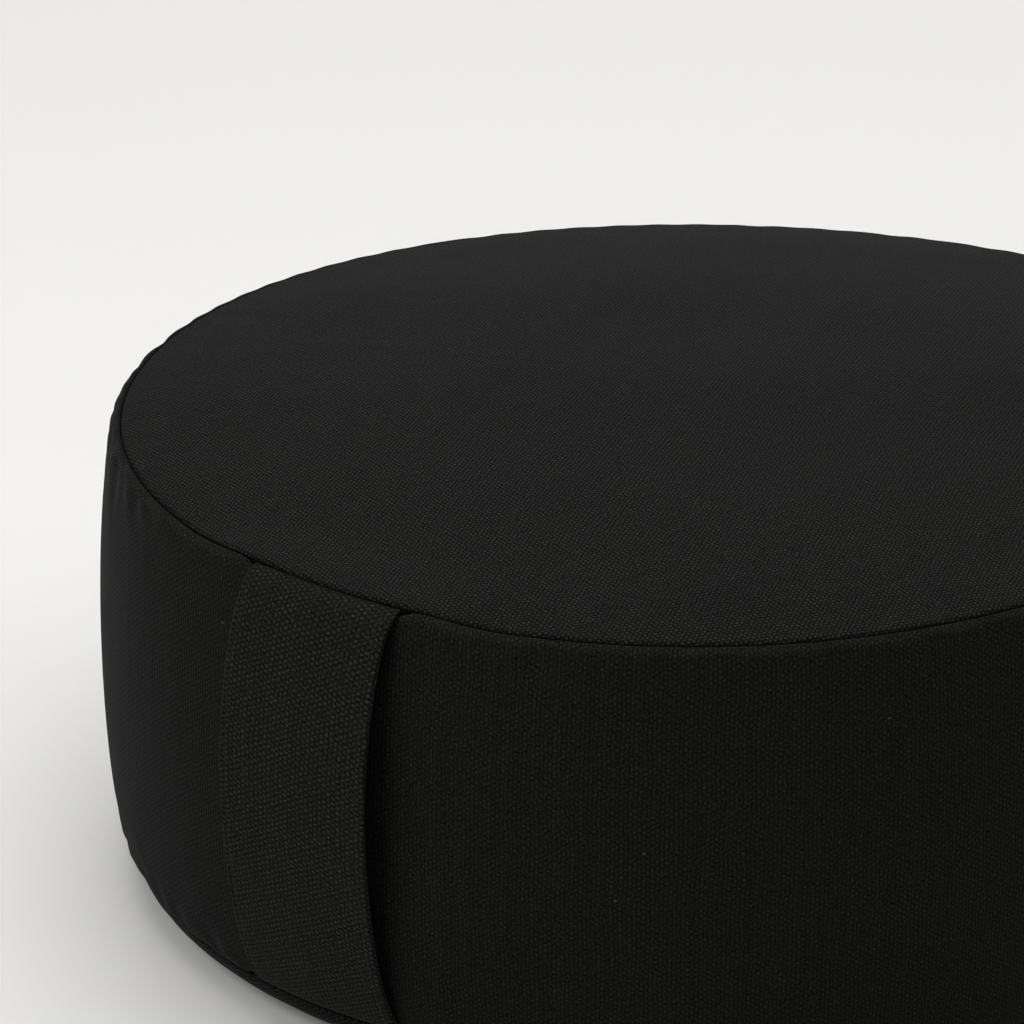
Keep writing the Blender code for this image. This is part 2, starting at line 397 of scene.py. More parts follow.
def crowded(count, share):
    """Even steps from 0 to 1, drawn closer together at both ends."""
    steps = np.linspace(0.0, 1.0, count + 1)
    return steps - share * np.sin(2 * math.pi * steps) / (2 * math.pi)


def gathers(azimuth, seed, shortest=GATHERS_SHORTEST):
    """Uneven waves round a seam, about 1 high, at the columns' azimuths."""
    draw = np.random.default_rng(seed)
    around = 2 * math.pi * SEAM_RADIUS
    counts = np.arange(round(around / GATHERS_LONGEST), round(around / shortest))
    phases = draw.uniform(0, 2 * math.pi, len(counts))
    total = np.cos(azimuth * counts + phases).sum(axis=1, keepdims=True)
    return total / math.sqrt(len(counts) / 2)


def band_lumps(azimuth, height):
    """Broad uneven swellings of the band, about 1 high."""
    draw = np.random.default_rng(BAND_LUMP_SEED)
    total = 0
    for count in BAND_LUMP_WAVES:
        turns = draw.uniform(-BAND_LUMP_TURNS, BAND_LUMP_TURNS)
        phase = draw.uniform(0, 2 * math.pi)
        total = total + np.cos(count * azimuth + turns * math.pi * height / TOP_SEAM_HEIGHT + phase)
    return total / math.sqrt(len(BAND_LUMP_WAVES) / 2)


def crown_lumps(x, y):
    """Broad uneven swellings of the crowned top, about 1 high."""
    draw = np.random.default_rng(CROWN_LUMP_SEED)
    total = 0
    for _ in range(CROWN_LUMP_WAVES):
        angle = draw.uniform(0, math.pi)
        length = draw.uniform(*CROWN_LUMP_LENGTHS)
        phase = draw.uniform(0, 2 * math.pi)
        total = total + np.cos(2 * math.pi * (x * math.cos(angle) + y * math.sin(angle)) / length + phase)
    return total / math.sqrt(CROWN_LUMP_WAVES / 2)


def ring_quads(columns, rows):
    """Quads between columns of points that stand side by side right round the drum."""
    column, row = np.meshgrid(np.arange(columns), np.arange(rows - 1), indexing="ij")
    after = (column + 1) % columns
    quads = (column * rows + row, column * rows + row + 1, after * rows + row + 1, after * rows + row)
    return np.stack(quads, axis=-1).reshape(-1, 4)


def run_along(steps):
    """Distance from the first point of a path to each of its points, from the steps between them."""
    return np.concatenate([[0.0], np.cumsum(steps)])


def arc_lengths(radii, heights):
    """Distance along a section, from its first point to each point."""
    return run_along(np.hypot(np.diff(radii), np.diff(heights)))


def new_object(name, data):
    made = bpy.data.objects.new(name, data)
    bpy.context.scene.collection.objects.link(made)
    return made


@functools.cache
def settled_cover():
    """How far the filled cover gives: the crown's lift and the band's swell, at even steps round it.

    The cover is blown up as cloth that is held at both seams. Its broad movement is taken off,
    because the solids already have the drum's true crown and bulge, and what is left is the uneven
    pull of the cloth between its seams.
    """
    rows = SETTLE_RINGS + SETTLE_BAND_ROWS + 1
    scene = bpy.context.scene
    turned = np.arange(SETTLE_COLUMNS)[:, None] * 2 * math.pi / SETTLE_COLUMNS
    azimuth = math.radians(HANDLE_AZIMUTH) + turned
    ring_r = SEAM_RADIUS * np.linspace(SETTLE_INNER, 1.0, SETTLE_RINGS + 1)
    band_r, band_z = band_point(np.linspace(0, 180, SETTLE_BAND_ROWS + 1)[1:], 0.0)
    radius = np.concatenate([ring_r, band_r])[None, :]
    height = np.concatenate([crown_height(ring_r), band_z])[None, :]
    start = place(radius, height, azimuth)
    faces = ring_quads(SETTLE_COLUMNS, rows).tolist()
    faces.append((np.arange(SETTLE_COLUMNS) * rows).tolist())
    mesh = bpy.data.meshes.new("cover_cloth")
    mesh.from_pydata(start.reshape(-1, 3).tolist(), [], faces)
    cover = new_object("cover_cloth", mesh)
    held = [c * rows + r for c in range(SETTLE_COLUMNS) for r in (SETTLE_RINGS, rows - 1)]
    cover.vertex_groups.new(name="seams").add(held, 1.0, "REPLACE")

    cloth = cover.modifiers.new("Cloth", "CLOTH").settings
    cloth.quality = SETTLE_QUALITY
    cloth.vertex_group_mass = "seams"
    cloth.use_pressure = True
    cloth.uniform_pressure_force = SETTLE_PRESSURE
    cloth.effector_weights.gravity = 0.0
    cloth.shrink_min = -SETTLE_SLACK
    for frame_number in range(1, SETTLE_FRAMES + 1):
        scene.frame_set(frame_number)
    blown = cover.evaluated_get(bpy.context.evaluated_depsgraph_get()).to_mesh()
    end = np.empty(SETTLE_COLUMNS * rows * 3, np.float32)
    blown.vertices.foreach_get("co", end)
    bpy.data.objects.remove(cover)
    bpy.data.meshes.remove(mesh)
    scene.frame_set(1)

    moved = end.reshape(SETTLE_COLUMNS, rows, 3) - start
    outward = moved[..., 0] * np.cos(azimuth) + moved[..., 1] * np.sin(azimuth)
    clear = smooth(off_handle(azimuth), *UNDER_HANDLE)
    uneven = []
    for part in (moved[:, : SETTLE_RINGS + 1, 2], outward[:, SETTLE_RINGS:]):
        round_waves = np.fft.rfft(part, axis=0)
        round_waves[:SETTLE_BROAD_WAVES] = 0
        rest = np.fft.irfft(round_waves, SETTLE_COLUMNS, axis=0)
        uneven.append(np.clip(rest, -SETTLE_LIMIT, SETTLE_LIMIT) * clear)
    return uneven


def read_between(table, where, wraps):
    """Rows of a table read between its steps, on a smooth curve through them."""
    low = np.floor(where).astype(int)
    share = (where - low)[:, None]
    taps = []
    for step in (-1, 0, 1, 2):
        index = low + step
        taps.append(table[index % len(table) if wraps else np.clip(index, 0, len(table) - 1)])
    a, b, c, d = taps
    cube = 3 * (b - c) + d - a
    square = 2 * a - 5 * b + 4 * c - d
    return b + share * (c - a + share * (square + share * cube)) / 2


def settled_at(table, steps):
    """The settled cover's movement for each column of the fine mesh, at the given row steps."""
    columns = np.linspace(0, SETTLE_COLUMNS, COLUMNS + 1)
    return read_between(read_between(table, columns, True).T, steps, False).T


def new_piece(name, points, faces, corner_uvs, painted_shading, material):
    """A mesh with its place in the cloth at every corner, and the shade or highlight painted at every
    point.
    """
    mesh = bpy.data.meshes.new(name)
    mesh.from_pydata(points.reshape(-1, 3).tolist(), [], [list(face) for face in faces])
    layer = mesh.uv_layers.new(name="cloth")
    layer.data.foreach_set("uv", np.asarray(corner_uvs, np.float32).ravel())
    crease = mesh.attributes.new("crease", "FLOAT", "POINT")
    crease.data.foreach_set("value", np.asarray(painted_shading, np.float32).ravel())
    mesh.shade_smooth()
    mesh.materials.append(material)
    return new_object(name, mesh)


def turned_piece(name, rings, uvs, painted_shading, poles, material):
    """A closed body turned about the axis.

    rings has a column of points for each azimuth, from the first pole to the second. uvs has one
    column more, for the join. A pole's place in the cloth is the middle of the ring beside it.
    """
    columns, rows = rings.shape[:2]
    points = np.concatenate([rings.reshape(-1, 3), poles])
    first, last = columns * rows, columns * rows + 1
    quad_uvs = np.stack([uvs[:-1, :-1], uvs[:-1, 1:], uvs[1:, 1:], uvs[1:, :-1]], axis=2)
    faces, corner_uvs = ring_quads(columns, rows).tolist(), [quad_uvs.reshape(-1, 2)]
    for pole, ring_row, turn in ((first, 0, 1), (last, rows - 1, -1)):
        middle = uvs[:, ring_row].mean(axis=0)
        for c in range(columns):
            here, there = c * rows + ring_row, (c + 1) % columns * rows + ring_row
            faces.append([pole, here, there][::turn])
            corner_uvs.append(np.array([middle, uvs[c, ring_row], uvs[c + 1, ring_row]][::turn]))
    painted_shading = np.append(np.broadcast_to(painted_shading, (columns, rows)), [0.0, 0.0])
    return new_piece(name, points, faces, np.concatenate(corner_uvs), painted_shading, material)


def azimuths():
    """The columns' azimuths, from the handle's middle right round to it again."""
    return math.radians(HANDLE_AZIMUTH) + np.linspace(0, 2 * math.pi, COLUMNS + 1)


def add_node(tree, kind, inputs=None, **settings):
    """A new node with its settings, and each input linked to a socket or given a value."""
    made = tree.nodes.new("ShaderNode" + kind)
    for name, value in settings.items():
        setattr(made, name, value)
    for name, source in (inputs or {}).items():
        if isinstance(source, bpy.types.NodeSocket):
            tree.links.new(source, made.inputs[name])
        else:
            made.inputs[name].default_value = source
    return made.outputs[0] if len(made.outputs) else made


def times(tree, first, second):
    return add_node(tree, "Math", {0: first, 1: second}, operation="MULTIPLY")


def graded(tree, value, low, high, start=0.0, end=1.0, **settings):
    """low where a value is at its start, high where it is at its end."""
    spans = {"Value": value, "From Min": start, "From Max": end, "To Min": low, "To Max": high}
    return add_node(tree, "MapRange", spans, **settings)


def tinted(tree, colour, tone):
    """A colour, lighter or darker by a tone."""
    return add_node(tree, "VectorMath", {0: tuple(colour), "Scale": tone}, operation="SCALE")


def new_material(name):
    """A material whose node tree is still empty, and that tree."""
    material = bpy.data.materials.new(name)
    material.use_nodes = True
    material.node_tree.nodes.clear()
    return material, material.node_tree


def give_surface(tree, inputs):
    """Ends a material's nodes in a surface with these inputs."""
    shader = add_node(tree, "BsdfPrincipled", inputs)
    add_node(tree, "OutputMaterial", {"Surface": shader})


def cotton_canvas(name, rib_share=0.42, depth=0.85, painted_light_level=1.14):
    """Heavy cotton canvas, woven plain from thick yarn and dyed black in the piece.

    The warp comes up as staggered nubs, painted lighter than the weft between them, which is painted
    into their shade and stays near black. rib_share is how far the nubs join into ribs along the warp,
    depth how far the weft's painted shade goes where this piece is pulled taut, and the last setting how
    much lighter or darker the whole piece is painted for the light that falls on it. The canvas is matt,
    with the soft sheen of short fibres at a grazing angle.
    """
    cloth = bpy.context.scene.cushion_canvas
    material, tree = new_material(name)
    flat = add_node(tree, "UVMap", uv_map="cloth")

    # Yarns wander: slowly over some centimetres, and a little at every crossing
    per_metre = (1 / cloth.rib_spacing, 1 / cloth.pick_spacing, 0)
    threads = add_node(tree, "VectorMath", {0: flat, 1: per_metre}, operation="MULTIPLY")
    for reach, yarns in ((YARN_WANDER, WANDERED_YARNS), (YARN_JITTER, JITTERED_YARNS)):
        noise = add_node(tree, "TexNoise", {"Vector": flat, "Scale": 1 / reach, "Detail": 1.0}).node
        shift = add_node(tree, "VectorMath", {0: noise.outputs["Color"], 1: (0.5, 0.5, 0.5)},
                         operation="SUBTRACT")
        threads = add_node(tree, "VectorMath", {0: shift, 1: yarns, 2: threads}, operation="MULTIPLY_ADD")

    # The warp is up where the two sines have the same sign, and the weft where they differ
    half_turns = add_node(tree, "VectorMath", {0: threads, 1: (math.pi, math.pi, 0)}, operation="MULTIPLY")
    sines = add_node(tree, "VectorMath", {0: half_turns}, operation="SINE")
    split = add_node(tree, "SeparateXYZ", {0: sines}).node
    across, along = split.outputs["X"], split.outputs["Y"]
    crossing = times(tree, across, along)
    nubs = graded(tree, crossing, 0.0, 1.0, *NUB_SPAN, interpolation_type="SMOOTHSTEP")
    ribs = times(tree, times(tree, across, across), rib_share)
    woven = add_node(tree, "Math", {0: nubs, 1: 1 - rib_share, 2: ribs}, operation="MULTIPLY_ADD")

    # Every nub and every rib is a little thicker or thinner than the next, under a fuzz of fibres
    cell = add_node(tree, "VectorMath", {0: threads}, operation="FLOOR")
    nub = add_node(tree, "TexWhiteNoise", {"Vector": cell}, noise_dimensions="2D")
    rib_only = add_node(tree, "VectorMath", {0: cell, 1: (1, 0, 0)}, operation="MULTIPLY")
    rib = add_node(tree, "TexWhiteNoise", {"Vector": rib_only}, noise_dimensions="2D")
    uneven = times(tree, woven, graded(tree, nub, *NUB_HEIGHTS))
    fuzz = add_node(tree, "TexNoise", {"Vector": flat, "Scale": 1 / FIBRE_GRAIN, "Detail": 2.0})
    fuzzy = add_node(tree, "Math", {0: fuzz, 1: FUZZ_SHARE, 2: uneven}, operation="MULTIPLY_ADD")
    height = times(tree, fuzzy, cloth.relief)

    # Painted shade between the yarns and in the seams' creases and furrows, where light doesn't reach,
    # painted light on the raised nubs and below the top seam, and the dye took unevenly over the cloth
    dyed = add_node(tree, "TexNoise", {"Vector": flat, "Scale": 1 / DYE_PATCH, "Detail": 3.0})
    painted_shading = add_node(tree, "Attribute", attribute_name="crease").node.outputs["Fac"]
    tone = graded(tree, uneven, painted_light_level * (1 - depth), painted_light_level * (1 + NUB_HIGHLIGHT * depth), *LIT_SPAN)
    for share in (
        graded(tree, nub, *NUB_TONES),
        graded(tree, rib, *RIB_TONES),
        graded(tree, dyed, *DYE_TONES, *DYE_NOISE),
        graded(tree, fuzz, *FIBRE_TONES, *FIBRE_NOISE),
        graded(tree, painted_shading, *PAINTED_SHADING_TONES, clamp=False),
    ):
        tone = times(tree, tone, share)
    flecked = add_node(tree, "Math", {0: nub, 1: 1 - FLECKED_NUBS}, operation="GREATER_THAN")
    on_nub = add_node(tree, "Math", {0: crossing, 1: FLECK_ABOVE}, operation="GREATER_THAN")
    colour = add_node(tree, "Mix", {
        "Factor": times(tree, flecked, on_nub),
        "A": tinted(tree, cloth.dye, tone),
        "B": (*cloth.fleck, 1.0),
    }, data_type="RGBA")

    give_surface(tree, {
        "Base Color": colour.node.outputs["Result"],
        "Roughness": graded(tree, uneven, 0.97, 0.82),
        "Normal": add_node(tree, "Bump", {"Height": height, "Distance": 1.0}),
        "IOR": 1.45,
        "Specular IOR Level": 0.08,
        "Sheen Weight": 0.023,
        "Sheen Roughness": 0.3,
    })
    return material


def in_cover(piece, node_name):
    """A piece of the cover stands for its solid, which is hidden, on the only body."""
    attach(piece, "root")
    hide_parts(node_name)


class CUSHION_OT_top_panel(bpy.types.Operator):
    """Cut and crown the round top panel, its rim turned down into the seam"""

    bl_idname = "cushion.top_panel"
    bl_label = "Top panel"

    def execute(self, context):
        cover = context.scene.cushion_cover
        azimuth = azimuths()[:, None]
        face = SEAM_RADIUS - RIM_INSET
        start = face - RIM_BEND
        steps = np.linspace(0, 1, PANEL_RINGS + 1)[1:]
        radii = start * (steps + RIM_CROWDING * steps * (1 - steps))
        bend = np.radians(np.linspace(0, 90, BEND_STEPS + 1))[1:]
        outer_r = np.concatenate([radii, start + RIM_BEND * np.sin(bend), [face, face]])
        bend_z = crown_height(start) - RIM_BEND * (1 - np.cos(bend))
        rim_z = (TOP_SEAM_HEIGHT - RIM_DEPTH / 2, TOP_SEAM_HEIGHT - RIM_DEPTH)
        outer_z = np.concatenate([crown_height(radii), bend_z, rim_z])
        hidden = SEAM_RADIUS * np.array(HIDDEN_RINGS[::-1])
        inner_r = np.concatenate([[face - CLOTH / 2, face - CLOTH, face - CLOTH], hidden])
        edge_z = (TOP_SEAM_HEIGHT - RIM_DEPTH - RIM_ROUND, TOP_SEAM_HEIGHT - RIM_DEPTH)
        shoulder_z = [TOP_SEAM_HEIGHT - CLOTH - RIM_ROUND]
        inner_z = np.concatenate([edge_z, shoulder_z, crown_height(hidden) - CLOTH])
        radius = np.concatenate([outer_r, inner_r])[None, :]
        height = np.concatenate([outer_z, inner_z])[None, :]

        # The rim rises over the handle's end, the filling is uneven, and the seam gathers the cloth
        x, y = radius * np.cos(azimuth), radius * np.sin(azimuth)
        near_rim = smooth(radius, SEAM_RADIUS - RAISE_REACH, SEAM_RADIUS)
        from_seam = SEAM_RADIUS - radius
        beside = smooth(from_seam, 0.0, TOP_PANEL_GATHERS_BEGIN) * np.exp(-from_seam / cover.pucker_reach)
        gathered = gathers(azimuth, TOP_PANEL_SEED, TOP_PANEL_GATHERS_SHORTEST)
        risen = height + rim_raised(azimuth) * near_rim + cover.pucker * gathered * beside
        risen = risen + cover.lump * crown_lumps(x, y) * (1 - near_rim)
        ring_steps = (radius[0] / SEAM_RADIUS - SETTLE_INNER) / (1 - SETTLE_INNER) * SETTLE_RINGS
        pulled = settled_at(settled_cover()[0], ring_steps.clip(0, SETTLE_RINGS))
        risen = risen + SETTLE_CROWN_SHARE * pulled
        points = place(radius, risen, azimuth)

        from_middle_r, from_middle_z = np.append(0.0, radius[0]), np.append(crown_height(0), height[0])
        along = arc_lengths(from_middle_r, from_middle_z)[1:]
        turn = math.radians(TOP_RIB_DIRECTION)
        spread_x, spread_y = along * np.cos(azimuth), along * np.sin(azimuth)
        uvs = np.stack([spread_x * math.sin(turn) - spread_y * math.cos(turn),
                        spread_x * math.cos(turn) + spread_y * math.sin(turn)], axis=-1)
        middle_z = crown_height(0) + cover.lump * crown_lumps(0.0, 0.0)
        poles = [(0, 0, middle_z), (0, 0, middle_z - CLOTH)]
        # Painted shade round the lower part of the rim's bend, where it turns down into the seam
        sunk = (crown_height(start) - height) / RIM_BEND
        painted_shading = smooth(sunk, *RIM_SHADE) * (radius > start)
        piece = turned_piece("top_panel_cloth", points[:-1], uvs, painted_shading, poles,
                             cotton_canvas("top panel cotton canvas"))
        in_cover(piece, "top_panel")
        return {"FINISHED"}


class CUSHION_OT_side_band(bpy.types.Operator):
    """Fill the drum and close it with the bulging side band, its ribs upright"""

    bl_idname = "cushion.side_band"
    bl_label = "Side band"

    def execute(self, context):
        cover = context.scene.cushion_cover
        cloth = context.scene.cushion_canvas
        azimuth = azimuths()[:, None]
        tucked = tucked_at(azimuth)
        under = CLOTH + GAP
        groove_floor = TOP_SEAM_HEIGHT - RIM_DEPTH - RIM_ROUND - GAP
        groove_outside = SEAM_RADIUS - RIM_INSET + GAP
        groove_inside = SEAM_RADIUS - RIM_INSET - under
        hidden = SEAM_RADIUS * np.array(HIDDEN_RINGS)
        groove_r = [groove_inside, groove_inside, groove_outside]
        groove_z = [TOP_SEAM_HEIGHT - under - RIM_ROUND, groove_floor, groove_floor]
        raised = rim_raised(azimuth) * smooth(off_handle(azimuth), *BESIDE_HANDLE)
        edge_z = TOP_SEAM_HEIGHT - tucked * EDGE_PRESSED + raised
        above_r = np.concatenate([hidden, groove_r])
        above_z = np.concatenate([crown_height(hidden) - under, groove_z])
        degrees = LIP_TURN + (180 - LIP_TURN) * crowded(BAND_ROWS, END_CROWDING)[:-1]
        band_r, band_z = band_point(degrees[None, :], tucked)
        band_z = band_z + raised * smooth(band_z, TOP_SEAM_HEIGHT - EDGE_PRESSED_REACH, TOP_SEAM_HEIGHT)
        shoulder = BOTTOM_SEAM_HEIGHT + SEAM_GAP + tucked * SHOULDER_LIFT
        turn_r, turn_z = turn_point(np.array(HIDDEN_TURN), under)

        # The filling swells unevenly, and the cloth gathers beside both seams
        from_top, from_bottom = TOP_SEAM_HEIGHT - band_z, band_z - BOTTOM_SEAM_HEIGHT
        body = smooth(from_top, 0.0, BAND_LUMP_FADE) * smooth(from_bottom, 0.0, BAND_LUMP_FADE)
        gathered = 0
        for from_seam, seed in ((from_top, BAND_TOP_SEED), (from_bottom, BOTTOM_SEAM_SEED)):
            beside = np.exp(-from_seam / cover.pucker_reach) * smooth(from_seam, 0.0, GATHERS_BEGIN)
            gathered = gathered + gathers(azimuth, seed) * beside
        swollen = cover.lump * band_lumps(azimuth, band_z) * body + cover.pucker * gathered
        swollen = swollen + settled_at(settled_cover()[1], degrees / 180 * SETTLE_BAND_ROWS)
        rolled = from_top / SHOULDER_ROLL_REACH
        roll = SHOULDER_ROLL * rolled * np.exp(1 - rolled)
        swollen = swollen + roll * smooth(off_handle(azimuth), *UNDER_HANDLE)

        def all_round(values):
            return np.broadcast_to(values, (COLUMNS + 1, len(values)))

        shoulder_r = all_round(np.array([SEAM_RADIUS + SEAM_GAP, SEAM_RADIUS - under]))
        shoulder_z = np.concatenate([shoulder, shoulder], axis=1)
        lip_r = all_round(np.array([groove_outside]))
        radius = np.concatenate([all_round(above_r), lip_r, band_r + swollen, shoulder_r,
                                 all_round(turn_r)], axis=1)
        height = np.concatenate([all_round(above_z), edge_z - BAND_LIP, band_z, shoulder_z,
                                 all_round(turn_z)], axis=1)
        from_top = edge_z - height
        from_bottom = height - BOTTOM_SEAM_HEIGHT
        # Painted shade along the band's top and bottom edges, full in the groove under the rim, and a
        # painted highlight a little below the top seam
        painted_shading = np.exp(-np.maximum(np.minimum(from_top, from_bottom), 0.0) / LIP_SHADE_REACH)
        painted_shading = painted_shading - SHOULDER_HIGHLIGHT * np.exp(-((from_top - SHOULDER_HIGHLIGHT_BELOW_SEAM) / SHOULDER_HIGHLIGHT_WIDTH) ** 2)
        painted_shading = np.where(radius < groove_outside + GAP / 2, 1.0, painted_shading)
        points = place(radius, height, azimuth)

        ribs = 2 * round(math.pi * (SEAM_RADIUS + SIDE_BULGE) / cloth.rib_spacing)
        along = arc_lengths(radius[COLUMNS // 2], height[COLUMNS // 2])
        around = np.linspace(0, ribs * cloth.rib_spacing, COLUMNS + 1)[:, None]
        uvs = np.stack(np.broadcast_arrays(around, along[None, :]), axis=-1)
        poles = [(0, 0, crown_height(0) - under), (0, 0, under)]
        canvas = cotton_canvas("side band cotton canvas", rib_share=0.5, depth=0.4, painted_light_level=1.05)
        piece = turned_piece("side_band_cloth", points[:-1], uvs, painted_shading[:-1], poles, canvas)
        in_cover(piece, "side_band")
        return {"FINISHED"}


class CUSHION_OT_bottom_panel(bpy.types.Operator):
    """Cut the round bottom panel, flat on the floor and turned up to the bottom seam"""

    bl_idname = "cushion.bottom_panel"
    bl_label = "Bottom panel"

    def execute(self, context):
        cover = context.scene.cushion_cover
        azimuth = azimuths()[:, None]
        lip = BOTTOM_SEAM_HEIGHT - SEAM_GAP
        turned = np.linspace(0, 90, TURN_POINTS)[:-1]
        inner_turn, outer_turn = turn_point(turned[1:], CLOTH), turn_point(turned[::-1], 0.0)
        foot = FOOT_RADIUS * np.array(FOOT_RINGS)
        edge_r = [SEAM_RADIUS - CLOTH, SEAM_RADIUS - CLOTH / 2, SEAM_RADIUS]
        edge_z = [lip - RIM_ROUND, lip, lip - RIM_ROUND]
        radius = np.concatenate([foot, inner_turn[0], edge_r, outer_turn[0], foot[1::-1]])[None, :]
        foot_z = np.full(len(foot), CLOTH)
        height = np.concatenate([foot_z, inner_turn[1], edge_z, outer_turn[1], [0.0, 0.0]])[None, :]
        off_floor = smooth(height, FLOOR_HOLD, BOTTOM_SEAM_HEIGHT / 2)
        beside = off_floor * smooth(height, lip, lip - GATHERS_BEGIN)
        gathered = cover.pucker * gathers(azimuth, BOTTOM_SEAM_SEED) * beside
        points = place(radius + gathered, height, azimuth)
        along = arc_lengths(radius[0], height[0]) + radius[0, 0]
        rising = np.minimum(along, along[len(foot) + len(inner_turn[0]) + 1])
        falling = along[-1] + foot[0] - along
        spread = np.where(along <= rising, rising, falling)
        uvs = np.stack([spread * np.cos(azimuth), spread * np.sin(azimuth)], axis=-1)
        poles = [(0, 0, CLOTH), (0, 0, 0.0)]
        # Painted shade on the bottom panel's edge, fading down from the seam
        painted_shading = np.exp(-np.maximum(lip - height, 0.0) / CREASE_SHADE_REACH) * (radius > FOOT_RADIUS)
        piece = turned_piece("bottom_panel_cloth", points[:-1], uvs, painted_shading, poles,
                             cotton_canvas("bottom panel cotton canvas"))
        in_cover(piece, "bottom_panel")
        return {"FINISHED"}


def handle_rows():
    """Rows along the handle: where its inner face lies, which way is out, and how fully it stands off."""
    degrees = 180 * crowded(HANDLE_ROWS, HANDLE_ROW_CROWDING)
    radius, height = band_point(degrees, 1.0)
    before, after = band_point(degrees - SLOPE_STEP, 1.0), band_point(degrees + SLOPE_STEP, 1.0)
    along_r, along_z = after[0] - before[0], after[1] - before[1]
    length = np.hypot(along_r, along_z)
    outward = np.stack([-along_z / length, along_r / length], axis=-1)
    share = (band_point(degrees, 0.0)[1] - BOTTOM_SEAM_HEIGHT) / (TOP_SEAM_HEIGHT - BOTTOM_SEAM_HEIGHT)
    upper = (share - HANDLE_PEAK) / (1 - HANDLE_PEAK)
    lower = (HANDLE_PEAK - share) / HANDLE_PEAK
    high = np.maximum(1 - upper * upper, 0.0) ** HANDLE_UPPER_FULLNESS
    low = np.maximum(1 - lower * lower, 0.0) ** HANDLE_LOWER_FULLNESS
    full = np.where(share > HANDLE_PEAK, high, low)
    inner = np.stack([radius, height], axis=-1) + outward * (GAP + (HANDLE_HOLLOW - GAP) * full)[:, None]
    tuck = np.array([[-HANDLE_TUCKED_IN, 0.0]])
    inner = np.concatenate([inner, inner[-1:] + tuck])
    return inner, np.concatenate([outward, outward[-1:]]), np.append(full, full[-1])


def on_handle(inner, outward, full, across, lift):
    """Points of the handle: across from its middle line, and lifted from its inner face."""
    half = HANDLE_WIDTH / 2
    flattening = HANDLE_FLATTENED * full * (half * half - across * across) / (2 * SEAM_RADIUS)
    radius = inner[..., 0] + outward[..., 0] * lift
    height = inner[..., 1] + outward[..., 1] * lift
    azimuth = math.radians(HANDLE_AZIMUTH) + across / radius
    return place(radius - flattening, height, azimuth)


def stitch_lines(settings):
    """Where the two rows of stitches lie, from the strip's middle line."""
    half = HANDLE_WIDTH / 2
    return settings.stitch_inset - half, half - settings.closing_inset


def furrow(across, settings):
    """How deep the strip lies in a furrow of its stitches, from 0 to 1."""
    away = [(across - line) / FURROW_WIDTH for line in stitch_lines(settings)]
    return sum(np.exp(-share * share) for share in away)


def end_squeeze(inner):
    """What the seams leave of the strip's thickness at each row, and how far it is from an end."""
    along = arc_lengths(inner[:, 0], inner[:, 1])
    from_end = np.minimum(along, along[-1] - along)
    return 1 - END_SQUEEZED * (1 - smooth(from_end, 0.0, END_SQUEEZED_REACH)), from_end


class CUSHION_OT_handle(bpy.types.Operator):
    """Fold the handle's strip double, turn its edges in and bow it out from seam to seam"""

    bl_idname = "cushion.handle"
    bl_label = "Carrying handle"

    def execute(self, context):
        settings = context.scene.cushion_handle
        inner, outward, full = handle_rows()
        half, edge = HANDLE_WIDTH / 2, CLOTH / 2
        columns = (half - edge) * (2 * crowded(HANDLE_COLUMNS, HANDLE_EDGE_CROWDING) - 1)
        bend = np.radians(np.linspace(0, 180, EDGE_STEPS + 1))[1:-1]
        dip = settings.stitch_trough * furrow(columns, settings)
        outer_lift, inner_lift = CLOTH - dip, dip
        across = np.concatenate([columns, half - edge + edge * np.sin(bend),
                                 columns[::-1], -(half - edge) - edge * np.sin(bend)])
        lift = np.concatenate([outer_lift, edge + edge * np.cos(bend),
                               inner_lift[::-1], edge - edge * np.cos(bend)])
        squeeze, from_end = end_squeeze(inner)
        points = on_handle(inner[:, None], outward[:, None], full[:, None], across[None, :],
                           lift[None, :] * squeeze[:, None])
        rows, loop = points.shape[:2]
        index = np.arange(rows * loop).reshape(rows, loop)
        here, there = index[:-1], index[1:]
        quads = np.stack([here, there, np.roll(there, -1, 1), np.roll(here, -1, 1)], axis=-1)
        ends = [index[0].tolist(), index[-1][::-1].tolist()]
        faces = quads.reshape(-1, 4).tolist() + ends
        along = run_along(np.linalg.norm(np.diff(points[:, HANDLE_COLUMNS // 2], axis=0), axis=1))
        over = run_along(np.hypot(np.diff(across, append=across[:1]), np.diff(lift, append=lift[:1])))
        corner_uvs = np.empty((rows - 1, loop, 4, 2))
        for corner, (down, side) in enumerate(((0, 0), (1, 0), (1, 1), (0, 1))):
            corner_uvs[:, :, corner, 0] = over[side : side + loop] / HANDLE_RIBS_SPREAD
            corner_uvs[:, :, corner, 1] = along[down : down + rows - 1, None]
        uvs = np.concatenate([corner_uvs.reshape(-1, 2), np.zeros((2 * loop, 2))])
        # Painted shade at the handle's ends, where the seams catch them, and in the stitches' furrows
        at_end = np.exp(-from_end / CREASE_SHADE_REACH)[:, None]
        in_furrow = np.minimum(FURROW_SHADE * furrow(across, settings), 1.0)[None, :]
        painted_shading = np.maximum(at_end, in_furrow)
        canvas = cotton_canvas("handle cotton canvas", rib_share=0.35, depth=0.6, painted_light_level=1.5)
        piece = new_piece("carrying_handle", points, faces, uvs, painted_shading, canvas)
        in_cover(piece, "handle")
        return {"FINISHED"}


